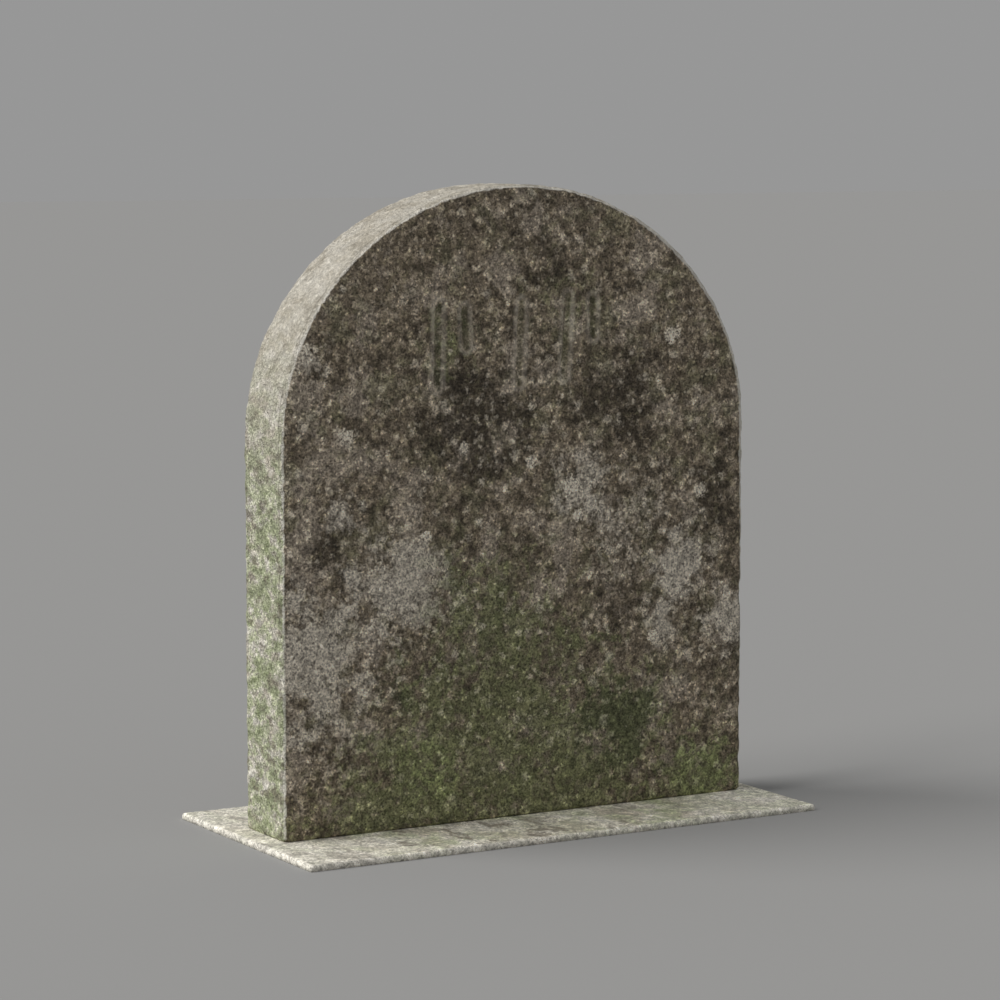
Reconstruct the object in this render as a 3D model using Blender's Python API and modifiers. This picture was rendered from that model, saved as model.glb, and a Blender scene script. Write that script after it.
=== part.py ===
"""Round-headed headstone: one upright tablet standing on one thin base slab.

Frame: metres, +Z up, origin at the centre of the base slab's underside.
The carved face looks along -Y and the width of the tablet lies along X.
"""

import math

import bmesh
import bpy
from mathutils import Matrix

# Tablet: the upright stone
TABLET_WIDTH = 0.642
TABLET_THICKNESS = 0.104
TABLET_HEIGHT = 0.760
SPRING_HEIGHT = 0.466
HEAD_STEPS = 64
ARRIS = 0.007
ARRIS_STEPS = 3

# Base slab: cut off flat at ground level, so only its upper few millimetres are here
BASE_LENGTH = 0.694
BASE_DEPTH = 0.343
BASE_THICKNESS = 0.008
BASE_ARRIS = 0.003
BASE_ARRIS_STEPS = 2

# The tablet is bedded on the base with a hairline gap
BEDDING_GAP = 0.0003

# Row of worn chisel strokes across the upper part of the face
ROW_HEIGHT = 0.523
LONG_STROKE = 0.096
SHORT_STROKE = 0.044
STROKE_WIDTH = 0.015
STROKE_DEPTH = 0.004
STROKE_TIP = 0.008
CUTTER_PROUD = 0.001

# One stroke each: place across the face, length, foot above the row, lean in degrees
STROKES = (
    (-0.114, LONG_STROKE, 0.000, 1.5),
    (-0.077, SHORT_STROKE, 0.046, -3.0),
    (-0.002, LONG_STROKE, 0.000, 2.5),
    (0.062, LONG_STROKE, 0.006, 3.0),
    (0.100, SHORT_STROKE, 0.054, -2.0),
)

# Material colours, as linear values
TABLET_COLOUR = (0.150, 0.122, 0.092, 1.0)
BASE_COLOUR = (0.420, 0.390, 0.310, 1.0)
STONE_ROUGHNESS = 0.92

TABLET_FOOT = BASE_THICKNESS + BEDDING_GAP
TABLET_FACE = -TABLET_THICKNESS / 2
STRAIGHT_ANGLE = math.radians(60)


def clear_scene():
    """Removes every object of the opened file."""
    for thing in list(bpy.data.objects):
        bpy.data.objects.remove(thing, do_unlink=True)


def new_collection(name):
    """A collection in the scene for the given pieces."""
    group = bpy.data.collections.new(name)
    bpy.context.scene.collection.children.link(group)
    return group


def stone(name, colour):
    """A dull, rough stone of one colour."""
    material = bpy.data.materials.new(name)
    material.use_nodes = True
    shader = material.node_tree.nodes["Principled BSDF"]
    shader.inputs["Base Color"].default_value = colour
    shader.inputs["Roughness"].default_value = STONE_ROUGHNESS
    shader.inputs["Metallic"].default_value = 0.0
    material.diffuse_color = colour
    return material


def tablet_outline():
    """Outline of the tablet: a flat foot, straight sides and a half-elliptical head."""
    half = TABLET_WIDTH / 2
    rise = TABLET_HEIGHT - SPRING_HEIGHT
    points = [(half, 0.0)]
    for step in range(HEAD_STEPS + 1):
        turn = math.pi * step / HEAD_STEPS
        points.append((half * math.cos(turn), SPRING_HEIGHT + rise * math.sin(turn)))
    points.append((-half, 0.0))
    return points


def outline_solid(name, points, thickness):
    """A closed mesh of a flat outline drawn as a curve, standing upright along XZ."""
    curve = bpy.data.curves.new(name + "_outline", "CURVE")
    curve.dimensions = "2D"
    curve.fill_mode = "BOTH"
    curve.extrude = thickness / 2
    spline = curve.splines.new("POLY")
    spline.points.add(len(points) - 1)
    for point, (across, up) in zip(spline.points, points):
        point.co = (across, up, 0.0, 1.0)
    spline.use_cyclic_u = True
    drawn = bpy.data.objects.new(name + "_outline", curve)
    bpy.context.scene.collection.objects.link(drawn)
    bpy.context.view_layer.update()
    graph = bpy.context.evaluated_depsgraph_get()
    mesh = bpy.data.meshes.new_from_object(drawn.evaluated_get(graph))
    mesh.name = name
    bpy.data.objects.remove(drawn, do_unlink=True)

    work = bmesh.new()
    work.from_mesh(mesh)
    bmesh.ops.remove_doubles(work, verts=work.verts, dist=1e-6)
    bmesh.ops.dissolve_limit(work, angle_limit=1e-4, verts=work.verts, edges=work.edges)
    work.transform(Matrix.Rotation(math.pi / 2, 4, "X"))
    bmesh.ops.recalc_face_normals(work, faces=work.faces)
    work.to_mesh(mesh)
    work.free()
    return mesh


def mark_arrises(mesh):
    """Weights the edges round the front and the back face, and leaves the foot sharp."""
    work = bmesh.new()
    work.from_mesh(mesh)
    weight = work.edges.layers.float.new("bevel_weight_edge")
    for edge in work.edges:
        at_foot = all(corner.co.z < ARRIS for corner in edge.verts)
        turned = edge.calc_face_angle(0.0) > STRAIGHT_ANGLE
        along_face = abs(edge.verts[0].co.y - edge.verts[1].co.y) < ARRIS
        edge[weight] = 1.0 if turned and along_face and not at_foot else 0.0
    work.to_mesh(mesh)
    work.free()


def stroke_cutter(name, across, length, foot, lean, group):
    """A long diamond bar with pointed ends, which leaves a V-shaped cut in the face."""
    work = bmesh.new()
    bmesh.ops.create_cone(work, cap_ends=True, segments=4, radius1=1.0, radius2=1.0, depth=1.0)
    bmesh.ops.scale(
        work,
        vec=(STROKE_WIDTH / 2, STROKE_DEPTH + CUTTER_PROUD, length - 2 * STROKE_TIP),
        verts=work.verts,
    )
    ends = [face for face in work.faces if abs(face.normal.z) > 0.9]
    bmesh.ops.poke(work, faces=ends, offset=STROKE_TIP)
    work.transform(Matrix.Rotation(math.radians(lean), 4, "Y"))
    bmesh.ops.recalc_face_normals(work, faces=work.faces)
    mesh = bpy.data.meshes.new(name)
    work.to_mesh(mesh)
    work.free()
    cutter = bpy.data.objects.new(name, mesh)
    middle = ROW_HEIGHT + foot + length / 2
    cutter.location = (across, TABLET_FACE - CUTTER_PROUD, TABLET_FOOT + middle)
    cutter.hide_render = True
    cutter.display_type = "WIRE"
    group.objects.link(cutter)
    return cutter


def make_tablet(group, cutters):
    """The upright stone: rounded arrises and the row of worn strokes cut in its face."""
    mesh = outline_solid("tablet", tablet_outline(), TABLET_THICKNESS)
    mark_arrises(mesh)
    tablet = bpy.data.objects.new("tablet", mesh)
    tablet.location = (0.0, 0.0, TABLET_FOOT)
    group.objects.link(tablet)
    mesh.materials.append(stone("weathered_tablet_stone", TABLET_COLOUR))

    worn = tablet.modifiers.new("worn_arris", "BEVEL")
    worn.limit_method = "WEIGHT"
    worn.width = ARRIS
    worn.segments = ARRIS_STEPS

    for number, (across, length, foot, lean) in enumerate(STROKES, start=1):
        cutter = stroke_cutter(f"stroke_cutter_{number}", across, length, foot, lean, cutters)
        cut = tablet.modifiers.new(f"stroke_{number}", "BOOLEAN")
        cut.operation = "DIFFERENCE"
        cut.object = cutter
    return tablet


def make_base(group):
    """The low slab under the tablet, with a slightly worn upper arris."""
    bpy.ops.mesh.primitive_cube_add(size=1.0, location=(0.0, 0.0, BASE_THICKNESS / 2))
    base = bpy.context.object
    base.name = "base_slab"
    mesh = base.data
    mesh.name = "base_slab"
    mesh.transform(Matrix.Diagonal((BASE_LENGTH, BASE_DEPTH, BASE_THICKNESS, 1.0)))
    work = bmesh.new()
    work.from_mesh(mesh)
    weight = work.edges.layers.float.new("bevel_weight_edge")
    for edge in work.edges:
        edge[weight] = 1.0 if all(corner.co.z > 0.0 for corner in edge.verts) else 0.0
    work.to_mesh(mesh)
    work.free()
    worn = base.modifiers.new("worn_arris", "BEVEL")
    worn.limit_method = "WEIGHT"
    worn.width = BASE_ARRIS
    worn.segments = BASE_ARRIS_STEPS
    mesh.materials.append(stone("weathered_base_stone", BASE_COLOUR))
    for holder in list(base.users_collection):
        holder.objects.unlink(base)
    group.objects.link(base)
    return base


def main():
    clear_scene()
    headstone = new_collection("headstone")
    cutters = new_collection("cutters")
    make_base(headstone)
    make_tablet(headstone, cutters)


main()
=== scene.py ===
# %% [markdown]
# # A weathered round-headed headstone
#
# Two stones make this object: an upright tablet with a rounded head, and a thin slab that it stands on.
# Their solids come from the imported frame. This script gives them the skin of old stone: worn arrises, shallow
# hollows, faint chisel strokes, lichen, dark crust and green algae.

# %% Load the fixed frame
import math

import bmesh
import bpy
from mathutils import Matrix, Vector, noise


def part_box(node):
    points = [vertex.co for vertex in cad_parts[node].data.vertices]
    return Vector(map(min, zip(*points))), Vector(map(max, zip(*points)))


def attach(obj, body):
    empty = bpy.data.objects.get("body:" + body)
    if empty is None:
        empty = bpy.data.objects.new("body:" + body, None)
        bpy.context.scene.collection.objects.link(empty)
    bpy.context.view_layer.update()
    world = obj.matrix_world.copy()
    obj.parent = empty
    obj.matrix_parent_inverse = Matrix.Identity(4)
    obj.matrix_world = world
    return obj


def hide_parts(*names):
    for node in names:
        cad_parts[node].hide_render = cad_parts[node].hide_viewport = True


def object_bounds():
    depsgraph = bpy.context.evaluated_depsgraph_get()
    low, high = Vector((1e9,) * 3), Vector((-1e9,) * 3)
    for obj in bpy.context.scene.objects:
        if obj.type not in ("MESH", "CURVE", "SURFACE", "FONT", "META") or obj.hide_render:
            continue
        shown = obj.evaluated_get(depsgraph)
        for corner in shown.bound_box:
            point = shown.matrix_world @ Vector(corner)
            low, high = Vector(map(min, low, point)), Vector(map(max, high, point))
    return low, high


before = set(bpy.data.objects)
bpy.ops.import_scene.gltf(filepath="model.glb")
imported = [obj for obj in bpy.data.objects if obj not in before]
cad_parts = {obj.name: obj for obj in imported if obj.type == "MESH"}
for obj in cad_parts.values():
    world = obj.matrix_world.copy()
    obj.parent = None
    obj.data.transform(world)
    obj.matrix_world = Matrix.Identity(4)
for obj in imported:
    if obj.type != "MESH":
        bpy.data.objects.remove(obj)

cad_low, cad_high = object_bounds()
tablet_low, tablet_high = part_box("tablet")
base_low, base_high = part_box("base_slab")
print("CAD box, mm:", [round(1000 * side) for side in cad_high - cad_low])

# %% [markdown]
# ## Sizes that the rest follows
#
# The frame gives each stone's lowest and highest corner. The tablet's outline also needs two sizes that a box
# doesn't hold: the height at which its straight sides end and the head begins, and how far its arrises, the
# long edges round its faces, are rounded.

# %% Read the sizes of both stones
MM = 0.001
SPRING_HEIGHT = 466 * MM
ARRIS = 7 * MM

half_width = tablet_high.x
half_depth = tablet_high.y
foot = tablet_low.z
spring = foot + SPRING_HEIGHT
head_rise = tablet_high.z - spring
base_top = base_high.z
print("tablet half width and head rise, mm:", round(1000 * half_width), round(1000 * head_rise))

# %% [markdown]
# ## Where the viewer stands
#
# A long lens from far off keeps the upright edges parallel, as in the photograph. The camera is placed by
# its bearing, its height angle and its distance from a point near the tablet's axis.

# %% Place the camera
BEARING = math.radians(30.2)
HEIGHT_ANGLE = math.radians(6.33)
DISTANCE = 4.128
FOCAL_LENGTH_MM = 122.95
SENSOR_MM = 36.0
AIM = Vector((-0.0005, 0.0, base_top + 0.3786))


def look_from(bearing, height_angle, distance, aim):
    """A camera at that bearing left of the front, looking at the aim point."""
    back = Vector((
        -math.sin(bearing) * math.cos(height_angle),
        -math.cos(bearing) * math.cos(height_angle),
        math.sin(height_angle),
    ))
    lens = bpy.data.cameras.new("viewpoint")
    lens.lens = FOCAL_LENGTH_MM
    lens.sensor_width = SENSOR_MM
    camera = bpy.data.objects.new("viewpoint", lens)
    camera.location = aim + back * distance
    camera.rotation_mode = "QUATERNION"
    camera.rotation_quaternion = (-back).to_track_quat("-Z", "Y")
    bpy.context.scene.collection.objects.link(camera)
    bpy.context.scene.camera = camera
    return camera


viewpoint = look_from(BEARING, HEIGHT_ANGLE, DISTANCE, AIM)
print("camera at", [round(place, 2) for place in viewpoint.location])

# %% [markdown]
# ## Floor and soft light
#
# In the photograph the narrow left side and the top of the slab are bright, and the carved face lies in
# soft shade. One very wide sun from the left, a little behind the stone, does that, and a pale surround
# fills the face. The floor's colour is worked out so that the lit floor is as bright as the surround, which
# hides the horizon from every side.

# %% Lay the floor and hang the light
FLOOR_SIZE = 60.0
FLOOR_GAP = 0.2 * MM
SURROUND = 0.31
SUN_FROM = Vector((-0.58, 0.16, 0.50))
SUN_COLOUR = (1.0, 0.985, 0.955)
SUN_WIDTH = math.radians(52)
FLOOR_ALBEDO = SURROUND / (SURROUND + SUN_FROM.z)


def lay_floor():
    """One wide pale sheet just under the base slab."""
    work = bmesh.new()
    bmesh.ops.create_grid(work, x_segments=1, y_segments=1, size=FLOOR_SIZE / 2)
    mesh = bpy.data.meshes.new("floor")
    work.to_mesh(mesh)
    work.free()
    floor = bpy.data.objects.new("floor", mesh)
    floor.location.z = cad_low.z - FLOOR_GAP
    paint = bpy.data.materials.new("pale_floor")
    paint.use_nodes = True
    shader = paint.node_tree.nodes["Principled BSDF"]
    shader.inputs["Base Color"].default_value = (FLOOR_ALBEDO, FLOOR_ALBEDO, FLOOR_ALBEDO, 1.0)
    shader.inputs["Roughness"].default_value = 1.0
    shader.inputs["Specular IOR Level"].default_value = 0.0
    mesh.materials.append(paint)
    bpy.context.scene.collection.objects.link(floor)
    return floor


def hang_sun():
    """A wide soft sun. Its strength is given as the brightness of a white sheet that faces it."""
    lamp = bpy.data.lights.new("soft_sun", "SUN")
    lamp.energy = SUN_FROM.length * math.pi
    lamp.angle = SUN_WIDTH
    lamp.color = SUN_COLOUR
    sun = bpy.data.objects.new("soft_sun", lamp)
    sun.rotation_mode = "QUATERNION"
    sun.rotation_quaternion = (-SUN_FROM).to_track_quat("-Z", "Y")
    bpy.context.scene.collection.objects.link(sun)
    return sun


def fill_surround():
    """An even pale surround that lights every side a little."""
    world = bpy.data.worlds.new("surround")
    world.use_nodes = True
    shade = world.node_tree.nodes["Background"]
    shade.inputs["Color"].default_value = (1.0, 1.0, 1.0, 1.0)
    shade.inputs["Strength"].default_value = SURROUND
    bpy.context.scene.world = world


lay_floor()
hang_sun()
fill_surround()
bpy.context.scene.view_settings.view_transform = "Standard"
print("floor albedo:", round(FLOOR_ALBEDO, 3))

# %% [markdown]
# ## The tablet's block
#
# The mason cuts a flat slab to a straight-sided outline with a half-elliptical head. Here one corner point
# is drawn up to the spring line, spun half a turn over the head and drawn down again. The outline is
# filled and drawn back through the thickness, and its two long arrises are rounded as wear rounds them.

# %% Cut the block
HEAD_STEPS = 96
ARRIS_STEPS = 3
SHARP_TURN = math.radians(60)
TINY = 0.01 * MM


def draw_point(work, corner, move):
    """Extrudes one corner along a move and returns the new corner."""
    grown = bmesh.ops.extrude_vert_indiv(work, verts=[corner])
    bmesh.ops.translate(work, vec=move, verts=grown["verts"])
    return grown["verts"][0]


def tablet_block():
    """A bmesh of the whole tablet: outline, thickness and rounded arrises."""
    work = bmesh.new()
    start = work.verts.new((half_width, -half_depth, foot))
    shoulder = draw_point(work, start, (0.0, 0.0, SPRING_HEIGHT))
    centre = Vector((0.0, -half_depth, spring))
    bmesh.ops.spin(
        work,
        geom=[shoulder],
        cent=centre,
        axis=(0, 1, 0),
        angle=-math.pi,
        steps=HEAD_STEPS,
    )
    far_shoulder = min((v for v in work.verts if v.co.z > foot + TINY), key=lambda v: v.co.x)
    draw_point(work, far_shoulder, (0.0, 0.0, -SPRING_HEIGHT))
    for corner in work.verts:
        if corner.co.z > spring:
            corner.co.z = spring + (corner.co.z - spring) * head_rise / half_width
    ends = [v for v in work.verts if v.co.z < foot + TINY]
    bmesh.ops.contextual_create(work, geom=ends)
    face = bmesh.ops.contextual_create(work, geom=list(work.edges))["faces"]
    back = bmesh.ops.extrude_face_region(work, geom=face)["geom"]
    bmesh.ops.translate(
        work,
        vec=(0.0, 2 * half_depth, 0.0),
        verts=[part for part in back if isinstance(part, bmesh.types.BMVert)],
    )
    bmesh.ops.recalc_face_normals(work, faces=work.faces)
    arrises = [
        edge for edge in work.edges
        if edge.calc_face_angle(0.0) > SHARP_TURN
        and abs(edge.verts[0].co.y - edge.verts[1].co.y) < TINY
        and not all(v.co.z < foot + TINY for v in edge.verts)
    ]
    bmesh.ops.bevel(
        work,
        geom=arrises,
        offset=ARRIS,
        affect="EDGES",
        segments=ARRIS_STEPS,
        profile=0.5,
        material=-1,
    )
    return work


block = tablet_block()
print("block faces:", len(block.faces))

# %% [markdown]
# ## An even skin
#
# Weather works on every part of a stone alike, so the block gets a skin of small squares of one size. A
# voxel remesh makes that skin in one step. The squares round the worn strokes are then halved, so that the
# narrow cuts have enough points.

# %% Remesh the block
SKIN_STEP = 3.9 * MM
ROW_FOOT = foot + 523 * MM
LONG_STROKE = 96 * MM
SHORT_STROKE = 44 * MM
STROKE_WIDTH = 15 * MM
STROKE_DEPTH = 2.6 * MM
ROW_MARGIN = 10 * MM

# One stroke each: place across the face, length, foot above the row, lean in degrees
STROKES = (
    (-114 * MM, LONG_STROKE, 0 * MM, 1.5),
    (-77 * MM, SHORT_STROKE, 46 * MM, -3.0),
    (-2 * MM, LONG_STROKE, 0 * MM, 2.5),
    (62 * MM, LONG_STROKE, 6 * MM, 3.0),
    (100 * MM, SHORT_STROKE, 54 * MM, -2.0),
)


def as_object(work, name):
    """Turns a bmesh into a linked object at the origin."""
    mesh = bpy.data.meshes.new(name)
    work.to_mesh(mesh)
    work.free()
    thing = bpy.data.objects.new(name, mesh)
    bpy.context.scene.collection.objects.link(thing)
    return thing


def settle_modifiers(thing):
    """Applies the live modifiers of an object to its mesh."""
    graph = bpy.context.evaluated_depsgraph_get()
    settled = bpy.data.meshes.new_from_object(thing.evaluated_get(graph))
    thing.modifiers.clear()
    thing.data = settled


def even_skin(thing, step):
    """Covers an object with squares of one size."""
    skin = thing.modifiers.new("even_skin", "REMESH")
    skin.mode = "VOXEL"
    skin.voxel_size = step
    settle_modifiers(thing)


def near_stroke(place):
    """The distance from a point of the face to the middle line of each stroke, and the share along it."""
    nearest, share = 1.0, 0.0
    for across, length, lift, lean in STROKES:
        tilt = math.radians(lean)
        along = Vector((math.sin(tilt), 0.0, math.cos(tilt)))
        low = Vector((across, place.y, ROW_FOOT + lift + length / 2)) - along * length / 2
        reach = max(0.0, min(length, (place - low).dot(along)))
        gap = (place - low - along * reach).length
        if gap < nearest:
            nearest, share = gap, reach / length
    return nearest, share


def refine_strokes(thing):
    """Halves the squares round every stroke."""
    work = bmesh.new()
    work.from_mesh(thing.data)
    close = [
        edge for edge in work.edges
        if edge.verts[0].co.y < -half_depth + MM and edge.verts[0].co.z > ROW_FOOT - ROW_MARGIN
        and near_stroke(edge.verts[0].co)[0] < STROKE_WIDTH
    ]
    bmesh.ops.subdivide_edges(work, edges=close, cuts=1, use_grid_fill=True)
    work.to_mesh(thing.data)
    work.free()


tablet = as_object(block, "weathered_tablet")
even_skin(tablet, SKIN_STEP)
refine_strokes(tablet)
print("tablet faces after remesh:", len(tablet.data.polygons))

# %% [markdown]
# ## Marks for the finish
#
# Some colour follows the shape and not the place: the rim of the tablet is paler than its faces, and the
# strokes hold algae. The mesh carries two distances as attributes, one number for each point, and the
# material reads them. They are taken from the sound block, before it is worn. A distance grows evenly from
# point to point, so a material can draw a line from it that is finer than the mesh. The back has no
# strokes, so every point of it counts as far from one.

# %% Mark the tablet for its finish
FAR = 40 * MM


def smooth_share(value, low, high):
    """Runs smoothly from 0 at low to 1 at high."""
    share = max(0.0, min(1.0, (value - low) / (high - low)))
    return share * share * (3 - 2 * share)


def depth_from_outline(place):
    """How far a point lies in from the tablet's outline, as seen from the front."""
    if place.z < spring:
        return half_width - abs(place.x)
    spread = math.hypot(place.x / half_width, (place.z - spring) / head_rise)
    return (1.0 - spread) * math.hypot(place.x, place.z - spring) / max(spread, TINY)


def depth_from_arris(place):
    """How far a point lies from the nearest long arris of the sound block."""
    to_face = max(half_depth - abs(place.y), 0.0)
    to_outline = max(depth_from_outline(place), 0.0)
    return math.hypot(to_face, to_outline)


def write_mark(mesh, name, values):
    """Keeps one number for each point of a mesh under a name that a material can read."""
    mark = mesh.attributes.new(name, "FLOAT", "POINT")
    mark.data.foreach_set("value", values)


def mark_tablet(mesh):
    """Marks how far each point is from the outline and from the nearest stroke."""
    places = [corner.co for corner in mesh.vertices]
    write_mark(mesh, "inset", [min(depth_from_outline(place), FAR) for place in places])
    gaps = [near_stroke(place)[0] if place.y < 0 else FAR for place in places]
    write_mark(mesh, "stroke_gap", [min(gap, FAR) for gap in gaps])


mark_tablet(tablet.data)
print("marks on the tablet:", [mark.name for mark in tablet.data.attributes if mark.domain == "POINT"])

# %% [markdown]
# ## Wear
#
# Rain and frost leave several kinds of relief on such a stone: long soft hollows over the faces, a crust
# that has flaked off in patches, small pits where grains fell out of it, and nicks along the arrises. Each
# is a noise of its own size, and each moves the skin inwards, so the stone never grows past its own block.
# The pairs of numbers are the noise values at which a kind of relief starts and is complete.

# %% Wear the tablet down
HOLLOW_DEPTH = 1.2 * MM
HOLLOW_SIZE = 110 * MM
CRUST_DEPTH = 0.9 * MM
CRUST_SIZE = 16 * MM
GRAIN_DEPTH = 0.5 * MM
GRAIN_SIZE = 6 * MM
PIT_DEPTH = 1.1 * MM
PIT_SIZE = 13 * MM
NICK_DEPTH = 1.4 * MM
NICK_SIZE = 17 * MM
NICK_REACH = 11 * MM
NICK_GRAIN = 0.3
CRUST_RANGE = (0.35, 0.62)
PIT_RANGE = (0.05, 0.32)
NICK_RANGE = (0.52, 0.72)
STROKE_END = (-0.02, 0.10)
UNDERSIDE = -0.5
TABLET_SEED = Vector((3.1, 7.7, 1.3))


def half_noise(place, size, seed):
    """A soft noise of one size, from 0 to 1."""
    return 0.5 + 0.5 * noise.noise(place / size + seed)


def wear_at(place, seed):
    """The depth of stone lost at a point of a face."""
    crust = smooth_share(half_noise(place, CRUST_SIZE, seed), *CRUST_RANGE)
    gap = noise.voronoi(place / PIT_SIZE + seed)[0][0]
    pit = 1.0 - smooth_share(gap, *PIT_RANGE)
    return (HOLLOW_DEPTH * half_noise(place, HOLLOW_SIZE, seed) + CRUST_DEPTH * crust
            + GRAIN_DEPTH * half_noise(place, GRAIN_SIZE, seed) + PIT_DEPTH * pit * crust)


def nick_at(place, seed):
    """The depth of the nicks along the arrises, which is nothing over most of their length."""
    closeness = 1.0 - smooth_share(depth_from_arris(place), 0.0, NICK_REACH)
    chance = half_noise(place, NICK_SIZE, seed * 2) * (1 - NICK_GRAIN)
    chance += half_noise(place, GRAIN_SIZE, seed) * NICK_GRAIN
    return NICK_DEPTH * closeness * smooth_share(chance, *NICK_RANGE)


def stroke_at(place):
    """The depth of the worn strokes on the carved face."""
    gap, share = near_stroke(place)
    ends = smooth_share(min(share, 1 - share), *STROKE_END)
    return STROKE_DEPTH * ends * (1.0 - smooth_share(gap, 0.0, STROKE_WIDTH / 2))


def wear_tablet(mesh):
    """Moves the skin of the tablet in by the wear, and cuts the strokes. The foot stays flat."""
    normals = [corner.normal.copy() for corner in mesh.vertices]
    for corner, outward in zip(mesh.vertices, normals):
        place = corner.co.copy()
        if place.z < foot + MM and outward.z < UNDERSIDE:
            continue
        lost = wear_at(place, TABLET_SEED) + nick_at(place, TABLET_SEED)
        if place.y < 0:
            lost += stroke_at(place)
        corner.co = place - outward * lost
    mesh.shade_smooth()


wear_tablet(tablet.data)
print("tablet triangles:", sum(len(face.vertices) - 2 for face in tablet.data.polygons))

# %% [markdown]
# ## The base slab
#
# The slab is sawn flat and lies at ground level, so only its top and a low edge show. It starts as a cube
# of the slab's size, its upper arris is rounded, and its long edges are divided so that the top can wear
# unevenly. The stone under the tablet's foot stays flat, because the tablet rests there.

# %% Cut and wear the slab
BASE_ARRIS = 3 * MM
SLAB_STEP = 4 * MM
TOP_WEAR = 0.4 * MM
TOP_WEAR_SIZE = 3 * CRUST_SIZE
TOP_CRUST = 0.2 * MM
TOP_CRUST_SIZE = CRUST_SIZE / 2
EDGE_CHIP = 0.3 * MM
CHIP_SIZE = 28 * MM
CHIP_REACH = 9 * MM
CHIP_RANGE = (0.50, 0.80)
BED_REACH = 6 * MM
MOSTLY = 0.9
SLAB_SEED = Vector((8.3, 2.9, 5.1))


def divide(work, side, step):
    """Divides all the long edges that run along one axis into pieces of about that step."""
    lines = [
        edge for edge in work.edges
        if abs((edge.verts[1].co - edge.verts[0].co)[side]) > MOSTLY * edge.calc_length() > 4 * BASE_ARRIS
    ]
    cuts = round(max(edge.calc_length() for edge in lines) / step) - 1
    bmesh.ops.subdivide_edges(work, edges=lines, cuts=cuts, use_grid_fill=True)


def slab_block():
    """A bmesh of the slab with a rounded upper arris and divided faces."""
    work = bmesh.new()
    bmesh.ops.create_cube(work, size=1.0)
    bmesh.ops.scale(work, vec=base_high - base_low, verts=work.verts)
    bmesh.ops.translate(work, vec=(base_low + base_high) / 2, verts=work.verts)
    upper = [edge for edge in work.edges if all(v.co.z > base_high.z - TINY for v in edge.verts)]
    bmesh.ops.bevel(
        work,
        geom=upper,
        offset=BASE_ARRIS,
        affect="EDGES",
        segments=2,
        profile=0.5,
        material=-1,
    )
    divide(work, 0, SLAB_STEP)
    divide(work, 1, SLAB_STEP)
    return work


def wear_slab(mesh):
    """Chips the slab's edge and hollows its top, but not where the tablet stands."""
    for corner in mesh.vertices:
        place = corner.co.copy()
        moved = place.copy()
        for side in (0, 1):
            reach = base_high[side] - abs(place[side])
            chance = half_noise(place, CHIP_SIZE, SLAB_SEED * (side + 1))
            chip = EDGE_CHIP * smooth_share(chance, *CHIP_RANGE) * (1 - smooth_share(reach, 0.0, CHIP_REACH))
            moved[side] -= math.copysign(chip, place[side])
        from_bed = max(abs(place.x) - half_width, abs(place.y) - half_depth)
        if place.z > base_high.z - 2 * BASE_ARRIS:
            wear = TOP_WEAR * half_noise(place, TOP_WEAR_SIZE, SLAB_SEED)
            crust = smooth_share(half_noise(place, TOP_CRUST_SIZE, SLAB_SEED), *CRUST_RANGE)
            moved.z -= (wear + TOP_CRUST * crust) * smooth_share(from_bed, 0.0, BED_REACH)
        corner.co = moved
    mesh.shade_smooth()


slab = as_object(slab_block(), "weathered_base_slab")
wear_slab(slab.data)
print("slab triangles:", sum(len(face.vertices) - 2 for face in slab.data.polygons))

# %% [markdown]
# ## A pen for shader maths
#
# A finish is a sum of many small patterns. Written as Python expressions, the sum stays readable: a Field
# wraps one socket, and each plus or times on it adds the Math node that works it out. Every pattern reads
# the place on the stone, turned off the stone's own axes, because a noise shows faint lines along the axes
# that it is worked out on.

# %% Make the pen
PATTERN_TURN = (0.5, 0.3, 0.8)
PATTERN_STEPS = (1.0, 1.7, 0.6)
NO_STRETCH = (1.0, 1.0, 1.0)
CLOUD_ROUGHNESS = 0.68
TEAR_SIZE = 6 * MM
TEAR_REACH = 2.2 * MM
TEAR_SEED = 1.0
TEAR_DETAIL = 2.0
TEAR_ROUGHNESS = 0.7
WIDEST_SPOT = 0.62

# The colour sockets of a Mix node share their names with its number sockets, so their places are used
MIX_SHARE = 0
MIX_FIRST = 6
MIX_SECOND = 7
MIX_RESULT = 2


class Field:
    """A number that changes over the surface."""

    def __init__(self, finish, socket):
        self.finish = finish
        self.socket = socket

    def __add__(self, other):
        return self.finish.maths("ADD", self, other)

    def __radd__(self, other):
        return self.finish.maths("ADD", other, self)

    def __sub__(self, other):
        return self.finish.maths("SUBTRACT", self, other)

    def __rsub__(self, other):
        return self.finish.maths("SUBTRACT", other, self)

    def __mul__(self, other):
        return self.finish.maths("MULTIPLY", self, other)

    def __rmul__(self, other):
        return self.finish.maths("MULTIPLY", other, self)

    def __rpow__(self, other):
        return self.finish.maths("POWER", other, self)

    def __abs__(self):
        return self.finish.maths("ABSOLUTE", self, 0.0)

    def between(self, low, high):
        """Runs smoothly from 0 where the number is low to 1 where it is high."""
        sockets = {"Value": self, "From Min": low, "From Max": high}
        made = self.finish.node("ShaderNodeMapRange", {"interpolation_type": "SMOOTHSTEP"}, sockets)
        return Field(self.finish, made.outputs["Result"])


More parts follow.
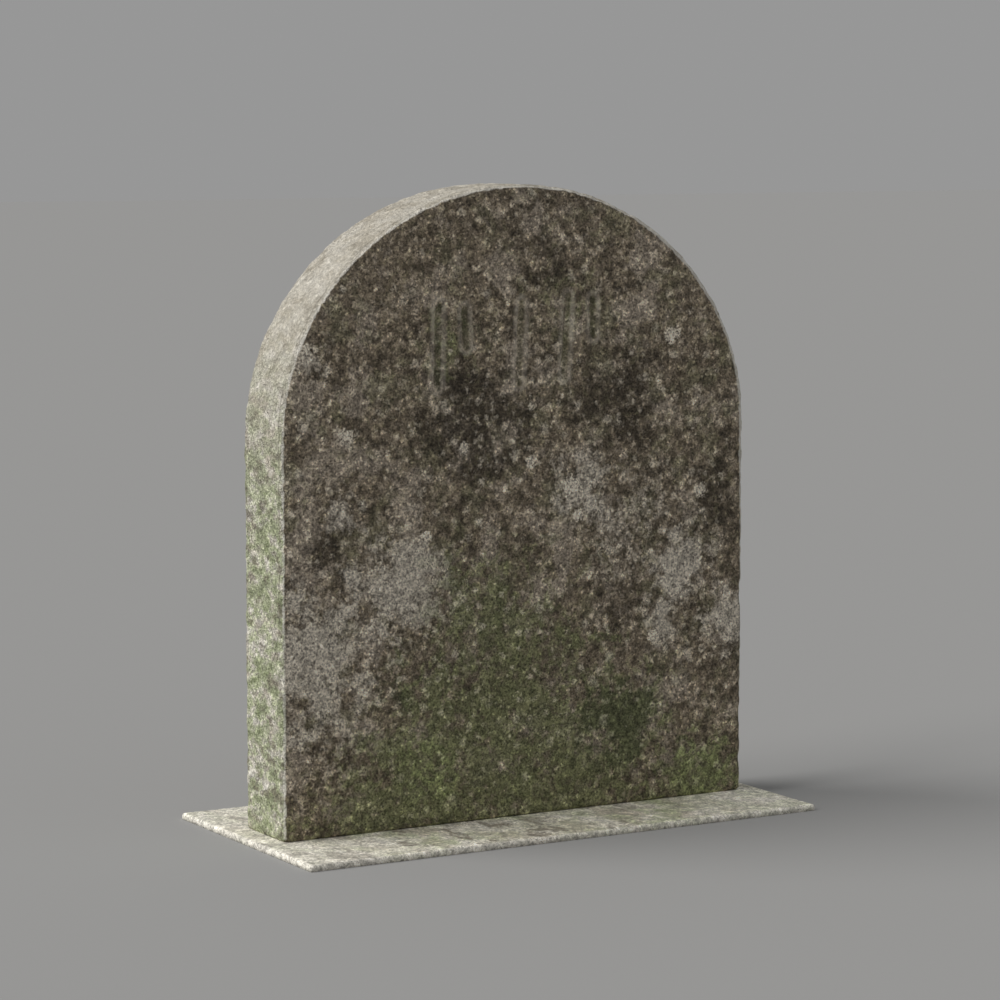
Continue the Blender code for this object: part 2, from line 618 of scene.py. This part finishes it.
class Finish:
    """One material, with the methods that draw patterns on it."""

    def __init__(self, name):
        self.material = bpy.data.materials.new(name)
        self.material.use_nodes = True
        self.tree = self.material.node_tree
        self.shader = self.tree.nodes["Principled BSDF"]
        self.place = self.node("ShaderNodeTexCoord").outputs["Object"]
        parts = self.node("ShaderNodeSeparateXYZ", sockets={"Vector": self.place})
        self.x = Field(self, parts.outputs["X"])
        self.y = Field(self, parts.outputs["Y"])
        self.z = Field(self, parts.outputs["Z"])
        self.torn = self.torn_place()

    def node(self, kind, settings=None, sockets=None):
        """Adds a node, sets its settings first, and then gives its sockets values or links."""
        made = self.tree.nodes.new(kind)
        for name, value in (settings or {}).items():
            setattr(made, name, value)
        for name, value in (sockets or {}).items():
            self.plug(value, made.inputs[name])
        return made

    def plug(self, value, socket):
        """Gives a socket a value, or a link from a field or another socket."""
        source = value.socket if isinstance(value, Field) else value
        if isinstance(source, bpy.types.NodeSocket):
            self.tree.links.new(source, socket)
        else:
            socket.default_value = source

    def maths(self, operation, first, second):
        """One Math node on two numbers or fields."""
        made = self.node("ShaderNodeMath", {"operation": operation}, {0: first, 1: second})
        return Field(self, made.outputs["Value"])

    def vector(self, operation, first, second=None, scale=None):
        """One Vector Math node."""
        sockets = {0: first}
        if second is not None:
            sockets[1] = second
        if scale is not None:
            sockets["Scale"] = scale
        return self.node("ShaderNodeVectorMath", {"operation": operation}, sockets)

    def mark(self, name):
        """A mark that the mesh carries for each of its points."""
        made = self.node("ShaderNodeAttribute", {"attribute_name": name})
        return Field(self, made.outputs["Fac"])

    def torn_place(self):
        """The place, pushed about by a noise, so that what is drawn there gets ragged edges."""
        sockets = {
            "Vector": self.shifted(self.place, TEAR_SEED),
            "Scale": 1 / TEAR_SIZE,
            "Detail": TEAR_DETAIL,
            "Roughness": TEAR_ROUGHNESS,
        }
        pushes = self.node("ShaderNodeTexNoise", sockets=sockets)
        centred = self.vector("SUBTRACT", pushes.outputs["Color"], (0.5, 0.5, 0.5)).outputs["Vector"]
        push = self.vector("SCALE", centred, scale=2 * TEAR_REACH).outputs["Vector"]
        return self.vector("ADD", self.place, push).outputs["Vector"]

    def shifted(self, place, seed, stretch=NO_STRETCH):
        """A place stretched, moved so that each pattern starts elsewhere, and turned off the stone's axes."""
        sockets = {
            "Vector": place,
            "Location": tuple(seed * step for step in PATTERN_STEPS),
            "Rotation": PATTERN_TURN,
            "Scale": stretch,
        }
        return self.node("ShaderNodeMapping", sockets=sockets).outputs["Vector"]

    def cloud(self, size, seed, detail, stretch=NO_STRETCH):
        """Ragged blots of about that size, from 0 to 1."""
        sockets = {
            "Vector": self.shifted(self.place, seed, stretch),
            "Scale": 1 / size,
            "Detail": detail,
            "Roughness": CLOUD_ROUGHNESS,
        }
        return Field(self, self.node("ShaderNodeTexNoise", sockets=sockets).outputs["Fac"])

    def cells(self, size, seed):
        """Cells of one size: how far a place is from its cell's middle, and a number that each cell has."""
        sockets = {"Vector": self.shifted(self.torn, seed), "Scale": 1 / size}
        made = self.node("ShaderNodeTexVoronoi", {"feature": "F1"}, sockets)
        chance = self.node("ShaderNodeSeparateColor", sockets={"Color": made.outputs["Color"]})
        return Field(self, made.outputs["Distance"]), Field(self, chance.outputs["Red"])

    def spots(self, size, share, seed, soft, fray):
        """Spots of random widths in that share of cells of one size, with edges frayed by a field."""
        distance, chance = self.cells(size, seed)
        radius = (chance - (1 - share)) * (WIDEST_SPOT / share)
        return (radius - distance + fray).between(0.0, soft)

    def flakes(self, size, seed):
        """Ragged flakes of about that size, each with a number of its own from 0 to 1."""
        return self.cells(size, seed)[1]

    def blend(self, first, second, share):
        """The first colour where the share is 0 and the second where it is 1."""
        sockets = {MIX_SHARE: share, MIX_FIRST: first, MIX_SECOND: second}
        return self.node("ShaderNodeMix", {"data_type": "RGBA"}, sockets).outputs[MIX_RESULT]

    def shade(self, colour, strength):
        """A colour made darker or lighter by a number."""
        return self.vector("SCALE", colour, scale=strength).outputs["Vector"]

    def bump(self, height, distance):
        """Fine relief for the light alone, on top of the mesh's own."""
        made = self.node("ShaderNodeBump", sockets={"Height": height, "Distance": distance})
        self.plug(made.outputs["Normal"], self.shader.inputs["Normal"])


def tone(red, green, blue):
    """A colour as a screen shows it, from 0 to 255, turned into the renderer's linear values."""
    linear = [((value / 255 + 0.055) / 1.055) ** 2.4 for value in (red, green, blue)]
    return (*linear, 1.0)


print("a middle grey of 128 is", round(tone(128, 128, 128)[0], 3), "in linear light")

# %% [markdown]
# ## Grain
#
# Close to, the stone is a mass of light lumps and grit. The lumps come in three sizes, rosettes, scales and
# beads, each a set of ragged spots. They lighten every layer of grime, and the grit lies over it all. A
# strength is counted in doublings, because the eye takes each doubling of light as one equal step.

# %% Draw the grain
ROSETTE_SIZE = 15 * MM
SCALE_SIZE = 9 * MM
BEAD_SIZE = 4.4 * MM
FRAY_BY_CURL = 0.16
FRAY_BY_LUMP = 0.22
SPOT_SOFTNESS = 0.40
BEAD_SOFTNESS = 0.25
CRACK_WIDTH = 0.045
MEAN_CURL = 0.7
MEAN_DOME = 0.30
GRIT_LIFT = 0.28


class Grain:
    """The fine patterns that every skin of one material shares."""

    def __init__(self, finish):
        self.curl = finish.cloud(size=2.8 * MM, seed=41.0, detail=2.0).between(0.30, 0.60)
        self.lump = finish.cloud(size=11 * MM, seed=43.0, detail=4.0).between(0.36, 0.64)
        self.flake = finish.flakes(size=5.5 * MM, seed=44.0)
        self.speck = finish.flakes(size=2.0 * MM, seed=48.0)
        fray = (self.curl - 0.6) * FRAY_BY_CURL + (self.lump - 0.5) * FRAY_BY_LUMP
        self.rosettes = finish.spots(ROSETTE_SIZE, share=0.45, seed=51.0, soft=SPOT_SOFTNESS, fray=fray)
        self.scales = finish.spots(SCALE_SIZE, share=0.50, seed=52.0, soft=SPOT_SOFTNESS, fray=fray)
        self.beads = finish.spots(BEAD_SIZE, share=0.55, seed=53.0, soft=BEAD_SOFTNESS, fray=0.0)
        ridge = abs(finish.cloud(size=12 * MM, seed=46.0, detail=3.0) - 0.5)
        self.cracks = 1.0 - ridge.between(0.0, CRACK_WIDTH)

    def mottle(self, domed, middle, flaky):
        """A strength for a colour: doublings for the domes, for the lumps and for the flakes."""
        domes = self.rosettes * 0.4 + self.scales * 0.7 + self.beads * 0.8
        return 2 ** ((domes - MEAN_DOME) * domed + (self.lump - 0.5) * middle + (self.flake - 0.5) * flaky)

    def grit(self, fine, specked):
        """A strength for a colour: doublings for the finest grain and for the dark specks."""
        dark_specks = self.speck.between(0.6, 1.0)
        return 2 ** ((self.curl - MEAN_CURL) * fine + (GRIT_LIFT - dark_specks) * specked)


print("sizes of the lumps, mm:", [round(1000 * size, 1) for size in (ROSETTE_SIZE, SCALE_SIZE, BEAD_SIZE)])

# %% [markdown]
# ## The dark skin of the faces
#
# Soot, grime and old lichen cover the faces. The layers go on in the order in which they grew: the stone's
# own brown mottle, the dark crust, pale bloom, algae low down, and last the lumps of lichen. A share says how
# much of what lies below it a layer hides.

# %% Name the colours of the faces
BROWN = tone(172, 157, 135)
DEEP_BROWN = tone(120, 108, 90)
ROSE_BROWN = tone(200, 186, 168)
OLIVE = tone(144, 139, 110)
# The dark crust, and also the painted shadow line just inside the face's edge
CRUST_AND_SHADOW = tone(80, 71, 57)
BLOOM = tone(232, 222, 206)
LICHEN = tone(246, 236, 218)
ALGAE = tone(136, 141, 98)
DEEP_ALGAE = tone(92, 98, 68)
FRESH_ALGAE = tone(156, 167, 112)
PALE_FILM = tone(218, 209, 194)
GREEN_FILM = tone(122, 126, 90)
LICHEN_FILM = tone(226, 217, 200)

ROSE_SHARE = 0.8
OLIVE_SHARE = 0.6
CRUST_SHARE = 0.85
BLOOM_SHARE = 0.85
ALGAE_SHARE = 0.75
DEEP_ALGAE_SHARE = 0.7
FRESH_SHARE = 0.7
GREEN_FILM_SHARE = 0.2
print("the brown of the stone in linear light:", [round(part, 3) for part in BROWN[:3]])

# %% [markdown]
# ### Areas that the eye picks out
#
# A broad noise alone never puts the dark band, the pale patches and the green foot where this stone has them.
# So those areas are placed one by one, each as a centre, a radius and a strength, and a noise tears their
# edges.
# The rosettes are the single round lichens that stand out in the photograph.

# %% Place the areas of the carved face
# One area each: place across, height above the slab, radius, strength
PALE_AREAS = (
    (-280 * MM, 215 * MM, 104 * MM, 1.2),
    (-170 * MM, 295 * MM, 96 * MM, 1.0),
    (-245 * MM, 380 * MM, 36 * MM, 0.7),
    (235 * MM, 290 * MM, 68 * MM, 0.9),
    (195 * MM, 215 * MM, 36 * MM, 0.8),
    (310 * MM, 220 * MM, 64 * MM, 1.0),
    (150 * MM, 340 * MM, 100 * MM, 0.4),
    (-250 * MM, 120 * MM, 90 * MM, 0.3),
    (85 * MM, 400 * MM, 66 * MM, 0.7),
    (-285 * MM, 560 * MM, 44 * MM, 0.6),
)
DARK_AREAS = (
    (-66 * MM, 480 * MM, 110 * MM, 1.9),
    (135 * MM, 505 * MM, 105 * MM, 1.1),
    (275 * MM, 380 * MM, 90 * MM, 0.8),
    (-262 * MM, 335 * MM, 72 * MM, 1.0),
    (15 * MM, 700 * MM, 100 * MM, 0.6),
    (135 * MM, 245 * MM, 56 * MM, 0.7),
)
GREEN_AREAS = (
    (-65 * MM, 290 * MM, 80 * MM, 0.5),
    (-20 * MM, 190 * MM, 170 * MM, 0.9),
    (-110 * MM, 80 * MM, 150 * MM, 1.0),
    (135 * MM, 100 * MM, 110 * MM, 1.0),
    (-220 * MM, 50 * MM, 90 * MM, 0.5),
    (40 * MM, 50 * MM, 130 * MM, 0.7),
    (250 * MM, 25 * MM, 90 * MM, 0.8),
    (-100 * MM, 580 * MM, 56 * MM, 0.6),
    (70 * MM, 620 * MM, 60 * MM, 0.4),
)
FRESH_AREAS = (
    (-125 * MM, 70 * MM, 66 * MM, 1.3),
    (0 * MM, 40 * MM, 60 * MM, 0.4),
    (255 * MM, 30 * MM, 80 * MM, 1.2),
)
ROSETTES = (
    (214 * MM, 575 * MM, 15 * MM, 1.0),
    (80 * MM, 360 * MM, 10 * MM, 1.0),
    (72 * MM, 398 * MM, 16 * MM, 1.0),
    (12 * MM, 428 * MM, 9 * MM, 1.0),
    (-80 * MM, 450 * MM, 10 * MM, 0.9),
    (-237 * MM, 470 * MM, 14 * MM, 0.8),
    (256 * MM, 382 * MM, 12 * MM, 0.8),
    (-288 * MM, 572 * MM, 14 * MM, 0.8),
    (-132 * MM, 348 * MM, 11 * MM, 0.9),
    (190 * MM, 205 * MM, 13 * MM, 0.9),
)
DEEP_GREEN_AREAS = (
    (135 * MM, 105 * MM, 80 * MM, 1.7),
    (-170 * MM, 160 * MM, 50 * MM, 0.6),
    (-40 * MM, 250 * MM, 60 * MM, 0.4),
)


AREA_CORE = 0.95


def area_sum(finish, rows, tears):
    """The sum of several ragged areas of the carved face, each with its strength."""
    total = 0.0
    for across, up, radius, strength in rows:
        gap = finish.vector("DISTANCE", finish.place, (across, -half_depth, base_top + up))
        reach = 1.0 - Field(finish, gap.outputs["Value"]) * (1 / radius) + tears
        total = reach.between(0.0, AREA_CORE) * strength + total
    return total


print("areas on the carved face:", len(PALE_AREAS) + len(DARK_AREAS) + len(GREEN_AREAS) + len(ROSETTES))

# %% [markdown]
# ### Stone, crust and algae
#
# Each layer is a blend of the colour so far and one more colour. Its share comes from an area, a broad noise
# and a fine one added up, so that a layer thins out into crumbs and doesn't end in a soft edge.

# %% Mix the stone, the crust and the algae
FOOT_GREEN_HEIGHT = 70 * MM


def bare_stone(finish, rag, broad):
    """The stone's own brown mottle."""
    colour = finish.blend(DEEP_BROWN, BROWN, rag.between(0.38, 0.60))
    colour = finish.blend(colour, ROSE_BROWN, broad.between(0.50, 0.60) * ROSE_SHARE)
    olive = finish.cloud(size=40 * MM, seed=3.0, detail=5.0).between(0.50, 0.62)
    return finish.blend(colour, OLIVE, olive * OLIVE_SHARE)


def add_crust(finish, colour, grain, tears, rag, broad):
    """Dark crust, thick in the dark areas and thin elsewhere."""
    dark = (0.5 - broad) * 4.0 + area_sum(finish, DARK_AREAS, tears) + (grain.flake - 0.5) * 0.5
    return finish.blend(colour, CRUST_AND_SHADOW, (dark + (0.5 - rag) * 2.4).between(0.1, 1.2) * CRUST_SHARE)


def green_amount(finish, grain, tears):
    """How green a place is: in the green areas, and all along the foot."""
    foot_green = (1.0 - finish.z.between(foot, foot + FOOT_GREEN_HEIGHT)) * 0.5
    return area_sum(finish, GREEN_AREAS, tears) + foot_green + (grain.lump - 0.5) * 0.7


def add_algae(finish, colour, grain, tears, rag, green):
    """Algae in three tones: common, deep and fresh."""
    colour = finish.blend(colour, ALGAE, green.between(0.10, 1.1) * ALGAE_SHARE)
    deep = area_sum(finish, DEEP_GREEN_AREAS, tears) + (0.5 - rag) * 2.0
    colour = finish.blend(colour, DEEP_ALGAE, deep.between(0.2, 1.0) * DEEP_ALGAE_SHARE)
    fresh = area_sum(finish, FRESH_AREAS, tears).between(0.1, 1.0) * grain.lump
    return finish.blend(colour, FRESH_ALGAE, fresh * FRESH_SHARE)


print("height of the green foot, mm:", round(1000 * FOOT_GREEN_HEIGHT))

# %% [markdown]
# ### Lichen, and the layers together
#
# Lichen grows thickest in a belt across the middle of the stone, and each flake of it has a strength of its
# own. The grit is worked in last, so that every layer, the lichen too, has the grain of stone.

# %% Lay the layers of the face
BELT_FOOT = (foot, foot + 240 * MM)
BELT_HEAD = (foot + 460 * MM, foot + 600 * MM)
TEARING = 2.2


def add_lichen(finish, colour, grain, tears):
    """Crowded lumps of lichen in a belt, and the single rosettes."""
    belt = finish.z.between(*BELT_FOOT) - finish.z.between(*BELT_HEAD) * 0.5
    crowd = (belt * 0.5 + tears * 0.5 + 0.35).between(0.0, 1.0)
    lichen = (grain.rosettes * 0.7 + grain.scales * 0.6) * (0.45 + grain.flake * 0.55)
    colour = finish.blend(colour, LICHEN_FILM, lichen * crowd)
    single = area_sum(finish, ROSETTES, (grain.curl - 0.6) * 0.4 + (grain.lump - 0.5) * 0.4)
    return finish.blend(colour, LICHEN, single.between(0.1, 0.7) * (0.65 + grain.flake * 0.3))


def face_skin(finish, grain):
    """The colour of the tablet's dark faces."""
    tears = (finish.cloud(size=36 * MM, seed=7.0, detail=5.0) - 0.5) * TEARING
    rag = finish.cloud(size=13 * MM, seed=9.0, detail=5.0)
    broad = finish.cloud(size=62 * MM, seed=5.0, detail=5.0)
    colour = add_crust(finish, bare_stone(finish, rag, broad), grain, tears, rag, broad)
    pale = area_sum(finish, PALE_AREAS, tears) + (rag - 0.5) * 1.6 + (grain.flake - 0.5) * 0.4
    colour = finish.blend(colour, BLOOM, pale.between(0.05, 1.15) * BLOOM_SHARE)
    green = green_amount(finish, grain, tears)
    colour = add_algae(finish, colour, grain, tears, rag, green)
    colour = finish.shade(colour, grain.mottle(domed=1.2, middle=0.8, flaky=1.0))
    colour = finish.blend(colour, PALE_FILM, pale.between(0.10, 1.15) * (0.22 + grain.lump * 0.70))
    colour = finish.blend(colour, GREEN_FILM, green.between(0.10, 1.1) * GREEN_FILM_SHARE)
    colour = add_lichen(finish, colour, grain, tears)
    return finish.shade(colour, grain.grit(fine=1.0, specked=1.1))


print("the belt of lichen ends between, mm:", [round(1000 * height) for height in BELT_HEAD])

# %% [markdown]
# ## The pale skin of the rim and the slab
#
# The rim and the slab are washed by rain, so they keep a cream skin with brown-grey dirt in ragged patches.
# Both are mixed by one function, which is told how much green and how much dirt to lay on.

# %% Mix the pale rim and slab skin
WHITE_CREAM = tone(244, 240, 230)
CREAM = tone(234, 228, 215)
WARM_CREAM = tone(206, 198, 182)
RIM_GREY = tone(132, 123, 108)
RIM_ALGAE = tone(200, 206, 170)
DEEP_RIM_ALGAE = tone(126, 136, 96)
# The dark of the cracks, and of the painted shadow line beside the front arris
RIM_CRACK_AND_SHADOW = tone(92, 86, 70)


def pale_skin(finish, grain, green_share, dirt_and_painted_light_share, size, stretch):
    """The colour of washed stone, in patches of about that size."""
    rag = finish.cloud(size, seed=31.0, detail=5.0, stretch=stretch) + (grain.flake - 0.5) * 0.04
    colour = finish.blend(WARM_CREAM, CREAM, rag.between(0.40, 0.52))
    colour = finish.blend(colour, WHITE_CREAM, rag.between(0.52, 0.64) * 0.7)
    growth = finish.cloud(size * 0.7, seed=35.0, detail=5.0, stretch=stretch)
    colour = finish.blend(colour, RIM_ALGAE, growth.between(0.38, 0.54) * green_share)
    deep = growth.between(0.50, 0.62) * (0.3 + grain.lump * 0.7)
    colour = finish.blend(colour, DEEP_RIM_ALGAE, deep * green_share * 0.9)
    dirt = finish.cloud(size * 0.8, seed=33.0, detail=5.0, stretch=stretch).between(0.53, 0.61)
    colour = finish.blend(colour, RIM_GREY, dirt * dirt_and_painted_light_share)
    return finish.blend(colour, RIM_CRACK_AND_SHADOW, grain.cracks * 0.3)


print("the white of the washed stone in linear light:", [round(part, 3) for part in WHITE_CREAM[:3]])

# %% [markdown]
# ### Coat
#
# Old stone is dull all over, and only its finest grain makes it a little duller or smoother. The same grain
# gives the fine relief, which only bends the light. The larger relief is in the mesh.

# %% Coat a stone
ROUGH_LOW = 0.80
ROUGH_HIGH = 0.98


def coat(finish, colour, grain, relief):
    """Gives the shader its colour, its dullness and its fine relief."""
    finish.plug(colour, finish.shader.inputs["Base Color"])
    finish.plug(ROUGH_HIGH - grain.curl * (ROUGH_HIGH - ROUGH_LOW), finish.shader.inputs["Roughness"])
    finish.bump(grain.curl + grain.lump, relief)
    return finish.material


print("roughness from", ROUGH_LOW, "to", ROUGH_HIGH)

# %% [markdown]
# ### The tablet's finish
#
# Algae greens the rim from below the head down, and rain keeps the head clean. Wear rubs the arrises nearly
# white, and a thin line of painted shadow lies on the rim beside the front one, with another painted shadow
# line just inside the face's edge. On the face, algae sits in the worn strokes and pale lichen on their lips.
# The marks on the mesh say where the rim ends and the face begins, and a noise makes that line waver. On the
# right the rim's pale colour wraps a little further round, as in the photograph: a painted highlight there.

# %% Finish the tablet
TABLET_BUMP = 1.2 * MM
RIM_PATCH = 24 * MM
RIM_STRETCH = (0.8, 0.6, 1.0)
RIM_STRENGTH = 0.87
RIM_GREEN = (foot + 340 * MM, foot + 660 * MM)
WASHED_HEAD = (spring - 80 * MM, spring + 160 * MM)
RUBBED = 3.5 * MM
RUB_FADE = 2 * MM
SHADOW_SEAM_PLACE = 10 * MM
SHADOW_SEAM_WIDTH = 2.4 * MM
SHADOW_SEAM_FADE = 20 * MM
GROOVE_EDGE = 1 * MM
LIP_START = (3 * MM, 6 * MM)
LIP_END = (8 * MM, 13 * MM)
WAVER = 1.8 * MM
FACE_START = 2.5 * MM
FACE_END = 4.5 * MM
SHADOW_LINE_WIDTH = 3 * MM
RIGHT_HIGHLIGHT_REACH = 4 * MM
RIGHT_HIGHLIGHT_RISE = (foot + 250 * MM, spring)


def rim_skin(finish, grain, gap):
    """The colour of the rim, where the gap is how far a place lies in from the nearer face."""
    low_green = 1.0 - finish.z.between(*RIM_GREEN)
    washed = finish.z.between(*WASHED_HEAD)
    rim = pale_skin(finish, grain, low_green, low_green * 0.3 + 0.4, RIM_PATCH, RIM_STRETCH)
    rim = finish.blend(rim, WARM_CREAM, washed * 0.35)
    mottled = finish.shade(rim, grain.mottle(domed=0.3, middle=0.5, flaky=0.5))
    grained = finish.shade(mottled, grain.grit(fine=0.7, specked=0.6))
    rim = finish.shade(finish.blend(grained, rim, washed * 0.55), RIM_STRENGTH)
    patchy = finish.cloud(size=70 * MM, seed=61.0, detail=3.0).between(0.40, 0.60)
    rubbed = (1.0 - gap.between(RUBBED, RUBBED + RUB_FADE)) * (0.40 + patchy * 0.25 + grain.lump * 0.35)
    rim = finish.blend(rim, WHITE_CREAM, rubbed)
    # Painted shadow: a thin dark line on the rim beside the front arris, on the front half only
    front = 1.0 - finish.y.between(-SHADOW_SEAM_FADE, 0.0)
    painted_seam_shadow = (1.0 - abs(gap - SHADOW_SEAM_PLACE).between(0.0, SHADOW_SEAM_WIDTH)) * front
    return finish.blend(rim, RIM_CRACK_AND_SHADOW, painted_seam_shadow * (0.35 + patchy * 0.65) * (0.25 + grain.lump * 0.55))


def stroked_face(finish, grain):
    """The colour of the faces with algae in the strokes and lichen on their lips."""
    stroke_gap = finish.mark("stroke_gap")
    groove = 1.0 - stroke_gap.between(GROOVE_EDGE, STROKE_WIDTH / 2)
    lip = stroke_gap.between(*LIP_START) - stroke_gap.between(*LIP_END)
    face = finish.blend(face_skin(finish, grain), DEEP_ALGAE, groove * 0.35)
    return finish.blend(face, BLOOM, lip * (0.12 + grain.lump * 0.3))


def tablet_stone():
    """The whole finish of the tablet."""
    finish = Finish("weathered_tablet_stone")
    grain = Grain(finish)
    waver = (grain.lump - 0.5) * WAVER
    inset = finish.mark("inset") + waver
    rim = rim_skin(finish, grain, half_depth - abs(finish.y) + waver)
    # Painted shadow: a thin dark line on the face just inside its edge, in the crust's colour
    painted_shadow_line = 1.0 - inset.between(FACE_END, FACE_END + SHADOW_LINE_WIDTH)
    face = finish.blend(stroked_face(finish, grain), CRUST_AND_SHADOW, painted_shadow_line * 0.4)
    # Painted highlight: on the right the pale rim colour reaches further onto the face, a light line along the
    # arris
    right_hand = finish.x.between(0.0, half_width) * finish.z.between(*RIGHT_HIGHLIGHT_RISE)
    inset = inset - right_hand * RIGHT_HIGHLIGHT_REACH
    return coat(finish, finish.blend(rim, face, inset.between(FACE_START, FACE_END)), grain, TABLET_BUMP)


tablet.data.materials.clear()
tablet.data.materials.append(tablet_stone())
print("tablet finish:", tablet.data.materials[0].name)

# %% [markdown]
# ### The slab's finish
#
# The slab has the same washed skin. It grows greener to the right, where the tablet keeps it in shade, and its
# dirt thins out there as painted light against the tablet's cast shadow. Its two ends are painted lighter,
# which on the right also offsets that shadow, and its outline is rubbed pale.

# %% Finish the slab
SLAB_BUMP = 0.3 * MM
SLAB_PATCH = 42 * MM
SLAB_STRETCH = (0.9, 0.6, 1.0)
SHADED_SIDE = (-150 * MM, 300 * MM)
PAINTED_LIGHT_ENDS = (160 * MM, 330 * MM)
PALE_OUTLINE = (1 * MM, 5 * MM)


def slab_stone():
    """The whole finish of the slab."""
    finish = Finish("weathered_base_stone")
    grain = Grain(finish)
    right_hand = finish.x.between(*SHADED_SIDE)
    growth = finish.cloud(size=90 * MM, seed=51.0, detail=4.0).between(0.42, 0.62)
    green = growth * 0.5 + 0.15 + right_hand * 0.2
    # Painted light: less dirt towards the right offsets the shadow that the tablet casts there
    skin = pale_skin(finish, grain, green, 0.8 - right_hand * 0.5, SLAB_PATCH, SLAB_STRETCH)
    # Painted light: both ends are whitened, which on the right also offsets the tablet's cast shadow
    skin = finish.blend(skin, WHITE_CREAM, abs(finish.x).between(*PAINTED_LIGHT_ENDS) * 0.4)
    for gap in (base_high.x - abs(finish.x), base_high.y - abs(finish.y)):
        skin = finish.blend(skin, WHITE_CREAM, (1.0 - gap.between(*PALE_OUTLINE)) * 0.5)
    skin = finish.shade(skin, grain.mottle(domed=0.35, middle=0.7, flaky=0.4))
    skin = finish.shade(skin, grain.grit(fine=0.7, specked=0.6))
    return coat(finish, skin, grain, SLAB_BUMP)


slab.data.materials.clear()
slab.data.materials.append(slab_stone())
print("slab finish:", slab.data.materials[0].name)

# %% [markdown]
# ## Put the stones in the frame
#
# Each stone rides on the frame's one body and stands for its own solid.

# %% Ride and replace
for stone, node, slot_name in (
    (tablet, "tablet", "tablet_stone"),
    (slab, "base_slab", "base_stone"),
):
    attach(stone, "root")
    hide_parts(node)
